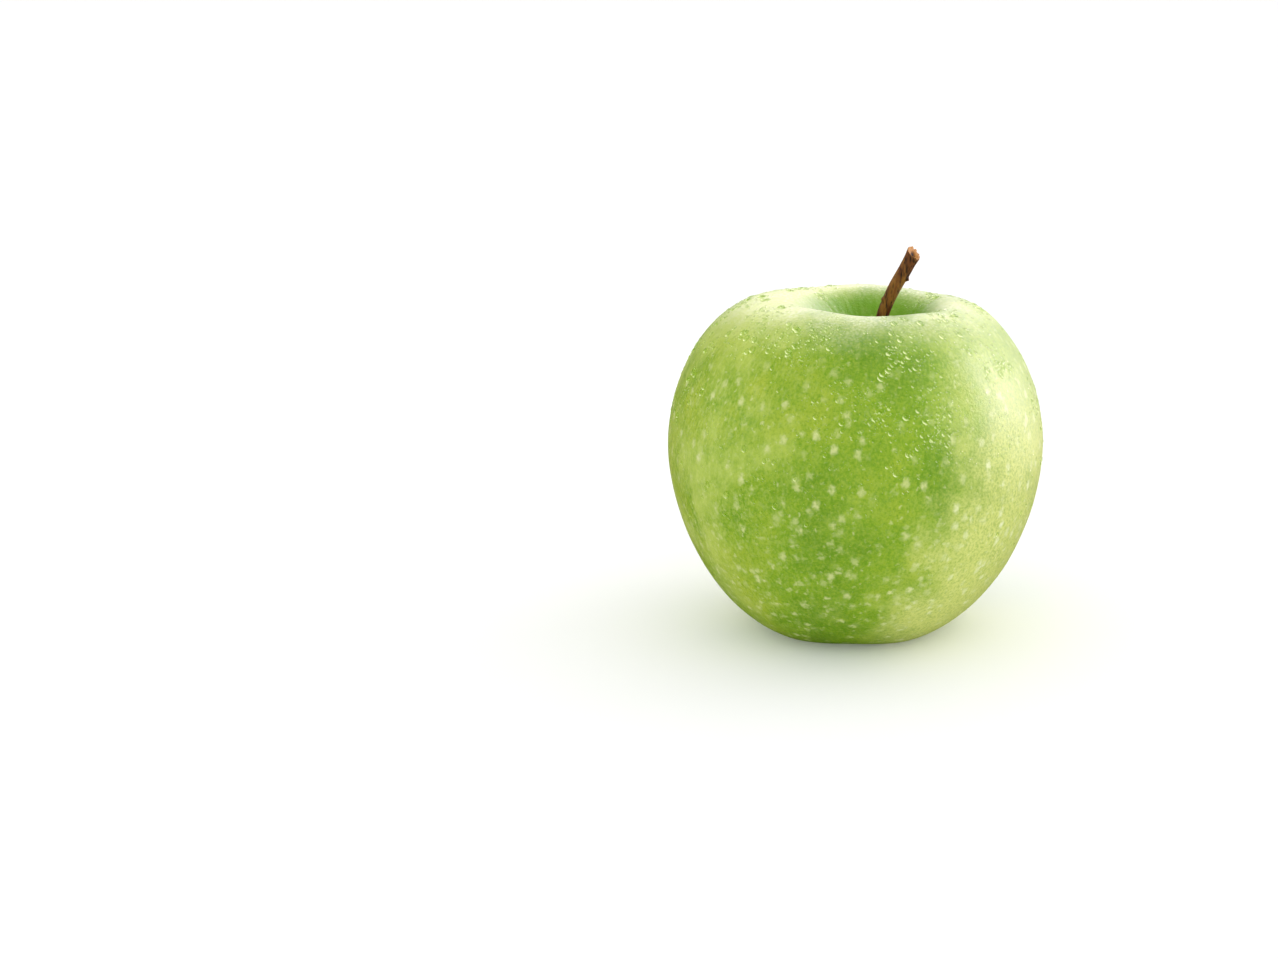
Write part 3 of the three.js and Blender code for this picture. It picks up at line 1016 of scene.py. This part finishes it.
@dataclass
class Stem:
    """The woody stem: ridged bark, a bud scar, a notch, and a torn, hollow end."""

    axis: CurvedAxis = field(
        default_factory=lambda: CurvedAxis(
            (
                (4.0, 0.3, 51.5),
                (4.4, 0.3, 57.0),
                (5.1, 0.2, 62.0),
                (6.2, 0.0, 67.0),
                (8.1, -0.2, 71.6),
                (10.5, -0.3, 75.9),
                (12.4, -0.4, 79.6),
            )
        )
    )
    radii: tuple[tuple[float, float], ...] = (
        (0.0, 1.5),
        (0.2, 1.38),
        (0.5, 1.27),
        (0.75, 1.3),
        (0.9, 1.44),
        (1.0, 1.6),
    )
    sides: int = 56
    rows: int = 150
    wall_share: float = 0.88  # the share of the grid that is the wall; the rest is the torn end
    scar: tuple[float, float, float] = (0.775, math.radians(-12), 0.5)  # share, angle, height
    notch: tuple[float, float, float] = (0.575, math.radians(188), 0.28)
    tear_fall: float = 1.3
    tear_angle: float = math.radians(-55)
    tear_start: float = 0.12  # how far below the torn end its slant begins, as a share of the grid
    root_share: float = 0.02  # the share of the grid that closes the root
    length: float = 30.0  # about, to measure the scar and the notch along the stem
    # The torn end from its outer edge at 0 to its middle at 1: share of the radius, and height.
    torn_radii: tuple[tuple[float, float], ...] = (
        (0.0, 1.0),
        (0.12, 0.98),
        (0.3, 0.84),
        (0.55, 0.46),
        (0.75, 0.26),
        (1.0, 0.0),
    )
    torn_heights: tuple[tuple[float, float], ...] = (
        (0.0, 0.0),
        (0.12, 0.2),
        (0.3, 0.25),
        (0.5, -0.05),
        (0.75, -0.85),
        (1.0, -1.1),
    )

    def place(self, around: float, along: float) -> Vector:
        """Places a grid point on the stem.

        Args:
            around: Share of a turn, from the stem's +X side.
            along: Share of the grid's length, from the root to the middle of the torn end.

        Returns:
            The point, in millimetres.
        """
        angle = around * 2 * math.pi
        share = min(along / self.wall_share, 1.0)
        tangent, side, across = self.axis.frame(share)
        spin = Vector((math.cos(angle), math.sin(angle), 0))
        radius = interpolate(self.radii, share)
        ridge = noise.noise(spin * 2.3 + Vector((0, 0, share * 3.5)))
        fine = noise.noise(spin * 6.5 + Vector((0, 0, share * 8)))
        radius *= 1 + 0.13 * ridge + 0.07 * fine
        for place, where, height in (self.scar, self.notch):
            turn = turn_between(where, angle)
            away = (share - place) * self.length
            radius += height * hump(turn * radius, 0.42) * hump(away, 0.42)
        # The cut of the notch lies just below its lip.
        place, where, _ = self.notch
        turn = turn_between(where, angle)
        away = (share - place + 0.022) * self.length
        radius -= 0.3 * hump(turn * radius, 0.6) * hump(away, 0.3)
        rise = 0.0
        if along < self.root_share:
            radius *= along / self.root_share
        if along > self.wall_share:
            inner = (along - self.wall_share) / (1 - self.wall_share)
            tooth = noise.noise(spin * 3.1 + Vector((0, 0, 9)))
            tooth += 0.7 * noise.noise(spin * 8 + Vector((0, 0, 4)))
            radius *= interpolate(self.torn_radii, inner)
            rise = interpolate(self.torn_heights, inner)
            rise += 0.32 * tooth * hump(inner - 0.22, 0.22) + 0.12 * noise.noise(spin * 5 * (1 - inner))
        # The end is torn on a slant, lowest on the front right.
        low_side = 0.5 + 0.5 * math.cos(angle - self.tear_angle)
        near_end = smoothstep(self.wall_share - self.tear_start, self.wall_share, along)
        rise -= self.tear_fall * low_side * near_end
        centre = self.axis.at(share) + tangent * rise
        return centre + side * radius * spin.x + across * radius * spin.y

    def make(self, shift: Vector) -> bpy.types.Object:
        """Bends a grid into the stem.

        Args:
            shift: How far the drawing's axis is from the frame's, in millimetres.

        Returns:
            The piece.
        """
        bm = bmesh.new()
        bm.loops.layers.uv.new("along")
        bmesh.ops.create_grid(bm, x_segments=self.sides, y_segments=self.rows, size=0.5, calc_uvs=True)
        for vert in bm.verts:
            vert.co = self.place(vert.co.x + 0.5, vert.co.y + 0.5)
        bmesh.ops.remove_doubles(bm, verts=bm.verts, dist=1e-3)
        bmesh.ops.dissolve_degenerate(bm, edges=bm.edges, dist=1e-4)
        bmesh.ops.recalc_face_normals(bm, faces=bm.faces)
        piece = finish_piece("stem_bark", bm, StemBark().make(), shift)
        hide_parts("stem")
        return piece


# ---------------------------------------------------------------- the calyx


@dataclass
class SepalShape:
    """How one sepal has dried, in millimetres."""

    lean: float
    curl: float
    length: float


@dataclass
class Calyx:
    """The dried flower in the basin: five sepals that lean over the tube, and a tuft of stamens in it."""

    form: FruitForm
    ring: float = 3.3
    top: float = 6.3
    width: float = 3.3
    thickness: float = 0.32
    tip_share: float = 0.16
    shapes: tuple[SepalShape, ...] = (
        SepalShape(1.3, 1.7, 4.6),
        SepalShape(1.5, 1.2, 4.1),
        SepalShape(1.1, 2.1, 4.9),
        SepalShape(1.6, 1.3, 4.3),
        SepalShape(1.2, 1.6, 4.7),
    )
    threads: int = 15
    thread_radius: float = 0.13
    thread_length: float = 4.3

    def sepal(self, index: int, material: bpy.types.Material, shift: Vector) -> bpy.types.Object:
        """Curls a grid into one crinkled blade.

        Args:
            index: Which sepal, from 0.
            material: The dried leaf.
            shift: How far the drawing's axis is from the frame's, in millimetres.

        Returns:
            The piece.
        """
        shape = self.shapes[index]
        inner = self.ring - shape.lean
        fall = self.top - shape.length
        spine = CurvedAxis(
            (
                (self.ring, 0.0, self.top),
                (self.ring - shape.lean * 0.45, 0.0, self.top - shape.length * 0.4),
                (inner, 0.0, self.top - shape.length * 0.75),
                (inner + shape.curl * 0.5, 0.0, fall + 0.1),
                (inner + shape.curl, 0.0, fall + shape.length * 0.12),
            )
        )
        turn = self.form.lobe_angle + (index + 0.5) * 2 * math.pi / len(self.shapes)
        bm = bmesh.new()
        bm.loops.layers.uv.new("blade")
        bmesh.ops.create_grid(bm, x_segments=14, y_segments=26, size=0.5, calc_uvs=True)
        for vert in bm.verts:
            across, along = vert.co.x, vert.co.y + 0.5
            _, side, back = spine.frame(along)
            width = self.width * (1 - along**1.6 * (1 - self.tip_share))
            cup = -0.5 * (1 - along) * (1 - 4 * across * across)
            crease = 0.22 * noise.noise(Vector((across * 5, along * 7, index * 3.7)))
            vein = 0.12 * hump(across, 0.08)
            vert.co = spine.at(along) + back * width * across + side * (cup + crease + vein)
        bmesh.ops.recalc_face_normals(bm, faces=bm.faces)
        bmesh.ops.solidify(bm, geom=bm.faces[:], thickness=self.thickness)
        bmesh.ops.recalc_face_normals(bm, faces=bm.faces)
        bmesh.ops.rotate(bm, verts=bm.verts, cent=(0, 0, 0), matrix=Matrix.Rotation(turn, 3, "Z"))
        piece = finish_piece(f"dried_sepal_{index + 1}", bm, material, shift)
        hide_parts(f"sepal_{index + 1}")
        return piece

    def stamens(self, shift: Vector) -> bpy.types.Object:
        """Makes the tuft: a pad at the top of the tube and threads that hang from it.

        Args:
            shift: How far the drawing's axis is from the frame's, in millimetres.

        Returns:
            The piece.
        """
        rng = random.Random(5)
        top = self.form.basin_depth + self.form.tube_height - self.form.foot_flat - 0.3
        bm = bmesh.new()
        pad = Matrix.Translation((0, 0, top - 0.55)) @ Matrix.Diagonal((1.35, 1.35, 0.5, 1))
        bmesh.ops.create_uvsphere(bm, u_segments=16, v_segments=8, radius=1, matrix=pad)
        for i in range(self.threads):
            angle = 2 * math.pi * (i + rng.uniform(-0.3, 0.3)) / self.threads
            spread = rng.uniform(0.4, 1.3)
            outward = Vector((math.cos(angle), math.sin(angle), 0))
            root = outward * 0.7 + Vector((0, 0, top - 0.6))
            end = outward * spread + Vector((0, 0, top - self.thread_length * rng.uniform(0.8, 1)))
            turn = (root - end).to_track_quat("Z", "Y").to_matrix().to_4x4()
            middle = Matrix.Translation((root + end) / 2) @ turn
            thread = {"radius1": self.thread_radius, "radius2": self.thread_radius * 0.7}
            thread |= {"depth": (root - end).length, "segments": 6, "cap_ends": True}
            bmesh.ops.create_cone(bm, matrix=middle, **thread)
            anther = Matrix.Translation(end) @ turn @ Matrix.Diagonal((0.27, 0.2, 0.36, 1))
            bmesh.ops.create_icosphere(bm, subdivisions=1, radius=1, matrix=anther)
        piece = finish_piece("dried_stamens", bm, DriedThread().make(), shift)
        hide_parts("stamens")
        return piece

    def make(self, shift: Vector) -> None:
        """Makes the five sepals and the tuft."""
        leaf = DriedLeaf().make()
        for index in range(len(self.shapes)):
            self.sepal(index, leaf, shift)
        self.stamens(shift)


# ---------------------------------------------------------------- water drops


class DropSize(Enum):
    """The kinds of drop: radius range, how many, sides and rings of each, and how dark its painted rim shade
    is.
    """

    DEW = (0.14, 0.27, 5200, 6, 4, 0.2)
    SMALL = (0.24, 0.48, 1200, 8, 6, 0.6)
    BEAD = (0.46, 0.8, 220, 10, 6, 1.0)


def append_drop(bm: bmesh.types.BMesh, size: DropSize, matrix: Matrix, light: Vector) -> None:
    """Adds one drop to a mesh, made on its own so that a long row of them stays quick.

    Args:
        bm: The mesh that it joins, with the drop light layer.
        size: Its kind.
        matrix: Its place and shape: the skin is its X and Y, and Z points out of the skin.
        light: Where the light comes from, along the skin, in the drop's own X and Y.
    """
    *_, sides, rings, painted_rim_shade = size.value
    one = bmesh.new()
    layer = one.verts.layers.float_color.new(DROP_LIGHT)
    bmesh.ops.create_uvsphere(one, u_segments=sides, v_segments=rings, radius=1)
    for vert in one.verts:
        # The crescent of gathered light and the dim rim are painted on the drop's corners.
        flat = Vector((vert.co.x, vert.co.y, 0))
        away = -flat.dot(light)
        crescent = smoothstep(0.3, 0.75, away) * (1 - smoothstep(0.85, 1.0, flat.length))
        rim = painted_rim_shade * smoothstep(0.6, 1.0, flat.length)
        vert[layer] = (crescent, rim, 0, 1)
    one.transform(matrix)
    mesh = bpy.data.meshes.new("one_drop")
    one.to_mesh(mesh)
    one.free()
    bm.from_mesh(mesh)
    bpy.data.meshes.remove(mesh)


@dataclass
class WaterDrops:
    """Drops standing on the upper skin: fine dew, small drops and a few large beads."""

    skin: bpy.types.Object
    seed: int = 11
    flatness: float = 0.46
    # The painted crescents lie on the side away from this direction.
    light: tuple[float, float, float] = (0.6, 0.1, 0.8)  # where the gathered light comes from
    # How wet the skin is at a height: the upper half is wet, and the underside is dry.
    wetness: tuple[tuple[float, float], ...] = (
        (14.0, 0.0),
        (24.0, 0.03),
        (34.0, 0.08),
        (46.0, 0.4),
        (56.0, 0.8),
        (66.0, 1.0),
    )
    gathering: float = 2.2  # how much likelier a drop is in the middle of a cluster
    # Where water has gathered: a place on the skin and how far it spreads, in millimetres.
    clusters: tuple[tuple[float, float, float, float], ...] = (
        (5.0, -34.0, 52.0, 4.0),
        (14.0, -33.0, 49.0, 5.5),
        (20.0, -28.0, 54.0, 5.0),
        (-13.0, -35.0, 46.0, 5.0),
        (28.0, -16.0, 60.0, 6.0),
        (-10.0, -26.0, 64.0, 6.0),
        (9.0, -27.0, 63.5, 5.0),
    )

    def liking(self, centre: Vector) -> float:
        """How likely a drop is to stand at a place.

        Args:
            centre: The place, in millimetres.

        Returns:
            A weight, from 0 where the skin is dry to above 1 where water has gathered.
        """
        wet = interpolate(self.wetness, centre.z)
        patchy = noise.noise(centre / 9) + 0.5 * noise.noise(centre / 3.5)
        painted_caustic = sum(
            self.gathering * hump((centre - Vector(place)).length, reach)
            for *place, reach in self.clusters
        )
        return wet * smoothstep(-0.25, 0.55, patchy) + painted_caustic * smoothstep(-0.5, 0.5, patchy)

    def make(self) -> None:
        """Scatters the drops over the skin: the dew as one piece, and the larger drops as another."""
        rng = random.Random(self.seed)
        # Spinning leaves the faces in an order that differs between runs, so their corners sort them.
        polygons = sorted(self.skin.data.polygons, key=lambda polygon: sorted(polygon.vertices))
        faces = [(p.center / MM, p.normal.copy(), p.area) for p in polygons]
        weights = list(accumulate(area * self.liking(centre) for centre, _, area in faces))
        water = Water().make()
        for name, sizes in (("dew", [DropSize.DEW]), ("water_drops", [DropSize.SMALL, DropSize.BEAD])):
            bm = bmesh.new()
            bm.verts.layers.float_color.new(DROP_LIGHT)
            for size in sizes:
                for centre, normal, _ in rng.choices(faces, cum_weights=weights, k=size.value[2]):
                    self.drop(bm, size, centre, normal, rng)
            piece = finish_piece(name, bm, water, Vector((0, 0, 0)))
            piece.visible_shadow = False  # clear water passes its light on to the skin

    def drop(
        self, bm: bmesh.types.BMesh, size: DropSize, centre: Vector, normal: Vector, rng: random.Random
    ) -> None:
        """Stands one drop on the skin, drawn out a little downhill.

        Args:
            bm: The mesh that it joins.
            size: Its kind.
            centre: About where it stands, in millimetres.
            normal: The way out of the skin there.
            rng: The drops' own source of chance.
        """
        low, high = size.value[:2]
        radius = low + (high - low) * rng.random() ** 2
        down = Vector((0, 0, -1)) + normal * normal.z
        down = down.normalized() if down.length > 0.01 else normal.orthogonal().normalized()
        jitter = Vector((rng.uniform(-0.4, 0.4), rng.uniform(-0.4, 0.4), rng.uniform(-0.4, 0.4)))
        jitter -= normal * jitter.dot(normal)
        length = radius * rng.uniform(1.0, 1.5 if size is DropSize.BEAD else 1.35)
        turn = Matrix((down, normal.cross(down), normal)).transposed().to_4x4()
        turn = turn @ Matrix.Rotation(rng.uniform(-0.6, 0.6), 4, "Z")
        shape = Matrix.Diagonal((length, radius, radius * self.flatness, 1))
        light = turn.to_3x3().transposed() @ Vector(self.light)
        light = Vector((light.x, light.y, 0)).normalized()
        append_drop(bm, size, Matrix.Translation(centre + jitter) @ turn @ shape, light)


# ---------------------------------------------------------------- studio


@dataclass(frozen=True)
class Softbox:
    """One softbox, placed by the direction it shines from, seen from the apple's front."""

    name: str
    direction: tuple[float, float, float]
    width: float
    height: float
    power: float
    gloss_only: bool = False  # flagged off the matt surfaces, so that it only draws its highlight
    tint: str = WHITE
    distance: float = 0.9


@dataclass(frozen=True)
class Dome:
    """The light of the white room round the apple, stronger on one side."""

    bright_side: tuple[float, float, float]
    growth: Ramp  # its strength, from the cosine of the angle to the bright side

    def strength(self, tree: bpy.types.NodeTree, way: Socket) -> Socket:
        """Draws the dome's strength over the directions of the sky.

        Args:
            tree: The world's node tree.
            way: The direction looked in.

        Returns:
            The strength there.
        """
        side = tuple(Vector(self.bright_side).normalized())
        facing = add_node(tree, "VectorMath", {0: way, 1: side}, out=1, operation="DOT_PRODUCT")
        return add_node(tree, "MapRange", self.growth.of(facing), **SMOOTH)


@dataclass
class Studio:
    """The camera, the white paper and the lights, in metres."""

    distance: float = 0.47
    elevation: float = math.radians(14.5)
    aim_height: float = 0.03455
    lens: float = 62.6
    # How far the apple stands from the middle of the view, as slopes to the right and upwards.
    right_slope: float = 0.0968
    up_slope: float = 0.0073
    # The white room as matt things see it, and as gloss sees it.
    room: Dome = Dome((0.2, 0.0, 0.95), Ramp(-0.5, 0.9, 0.9, 1.1))
    mirrored: Dome = Dome((0.8, 0.6, 0.25), Ramp(0.0, 0.9, 0.05, 1.4))
    over_table: Ramp = Ramp(-0.25, 0.05)  # the table hides the mirrored room below this slope
    backdrop: float = 1.02  # the room as the camera sees it
    paper_size: float = 8.0
    paper_drop: float = 0.00005  # under the feet, so that the two never share a plane
    softboxes: tuple[Softbox, ...] = (
        Softbox("key_right_back", (0.74, 0.4, 0.55), 0.5, 0.5, 0.6),
        Softbox("bounce_right", (0.93, -0.1, 0.12), 0.5, 0.3, 1.1),
        Softbox("bounce_left", (-0.95, 0.1, 0.1), 0.5, 0.3, 0.45),
        Softbox("sheen_right_back", (0.84, 0.3, 0.3), 0.38, 0.56, 9.8, gloss_only=True, tint=ROSY),
        Softbox("sweep_right", (0.85, 0.62, 0.1), 0.5, 0.7, 2.5, gloss_only=True, tint=ROSY),
        Softbox("sweep_back", (0.15, 0.94, 0.58), 0.9, 0.5, 5.6, gloss_only=True, tint=ROSY),
        Softbox("fill_left", (-0.88, -0.36, 0.32), 0.2, 0.26, 0.5, gloss_only=True),
        Softbox("top_front", (-0.42, -0.56, 0.71), 0.12, 0.1, 0.12, gloss_only=True),
        Softbox("glint_right", (0.45, -0.25, 0.85), 0.04, 0.04, 0.2, gloss_only=True),
    )

    def camera(self) -> None:
        """Stands the camera a little above the shoulders and turns it, so that the apple is to the right."""
        data = bpy.data.cameras.new("camera")
        data.lens = self.lens
        data.sensor_width = 36
        data.clip_start = 0.01
        data.clip_end = 50
        camera = bpy.data.objects.new("camera", data)
        bpy.context.scene.collection.objects.link(camera)
        forward = Vector((0, math.cos(self.elevation), -math.sin(self.elevation)))
        up = Vector((0, math.sin(self.elevation), math.cos(self.elevation)))
        centre = Vector((0, 0, self.aim_height))
        turn = Quaternion(up, math.atan(self.right_slope))
        aim = turn @ forward
        side = aim.cross(up)
        tilt = Quaternion(side, -math.atan(self.up_slope))
        axes = Matrix((side, tilt @ up, -(tilt @ aim))).transposed()
        camera.matrix_world = Matrix.LocRotScale(centre - forward * self.distance, axes, None)
        bpy.context.scene.camera = camera

    def paper(self) -> None:
        """Lays the white paper just under the feet."""
        bm = bmesh.new()
        bmesh.ops.create_grid(bm, x_segments=2, y_segments=2, size=self.paper_size)
        bmesh.ops.translate(bm, verts=bm.verts, vec=(0, 0, -self.paper_drop))
        mesh = bpy.data.meshes.new("studio_paper")
        bm.to_mesh(mesh)
        bm.free()
        mesh.materials.append(StudioPaper().make())
        paper = bpy.data.objects.new("studio_paper", mesh)
        bpy.context.scene.collection.objects.link(paper)
        paper.visible_glossy = False  # the gloss then mirrors only the lights and the room

    def surroundings(self) -> None:
        """Sets the white room, which gloss sees with more contrast than matt surfaces do."""
        world = bpy.data.worlds.new("white_studio")
        world.use_nodes = True
        tree = world.node_tree
        tree.nodes.clear()
        way = add_node(tree, "TexCoord", out="Generated")
        upward = add_node(tree, "SeparateXYZ", {0: way}, out=2)
        over_table = add_node(tree, "MapRange", self.over_table.of(upward))
        mirrored = {0: self.mirrored.strength(tree, way), 1: over_table}
        mirrored = add_node(tree, "Math", mirrored, operation="MULTIPLY")
        glossy = add_node(tree, "LightPath", out="Is Glossy Ray")
        strength = self.room.strength(tree, way)
        for ray, level in ((glossy, mirrored), (glossy.node.outputs["Is Camera Ray"], self.backdrop)):
            strength = add_node(tree, "Mix", {0: ray, 2: strength, 3: level}, data_type="FLOAT")
        room = add_node(tree, "Background", {0: linear(WHITE), 1: strength})
        add_node(tree, "OutputWorld", {0: room})
        bpy.context.scene.world = world

    def lights(self) -> None:
        """Hangs the softboxes round the apple."""
        centre = Vector((0, 0, self.aim_height))
        for box in self.softboxes:
            data = bpy.data.lights.new(box.name, "AREA")
            data.shape = "RECTANGLE"
            data.size = box.width
            data.size_y = box.height
            data.energy = box.power
            data.color = linear(box.tint)[:3]
            lamp = bpy.data.objects.new(box.name, data)
            direction = Vector(box.direction).normalized()
            turn = direction.to_track_quat("Z", "Y")
            lamp.matrix_world = Matrix.LocRotScale(centre + direction * box.distance, turn, None)
            lamp.visible_camera = False
            lamp.visible_diffuse = not box.gloss_only
            bpy.context.scene.collection.objects.link(lamp)

    def make(self) -> None:
        """Makes the camera, the paper, the white room and the lights."""
        self.camera()
        self.paper()
        self.surroundings()
        self.lights()
        bpy.context.scene.view_settings.view_transform = "Standard"


def main() -> None:
    """Builds the studio and then the apple, piece by piece."""
    logging.basicConfig(level=logging.INFO, format="%(name)s: %(message)s")
    Studio().make()
    fruit = Fruit()
    skin, shift = fruit.make()
    Stem().make(shift)
    Calyx(fruit.form).make(shift)
    WaterDrops(skin).make()


if __name__ == "__main__":
    main()
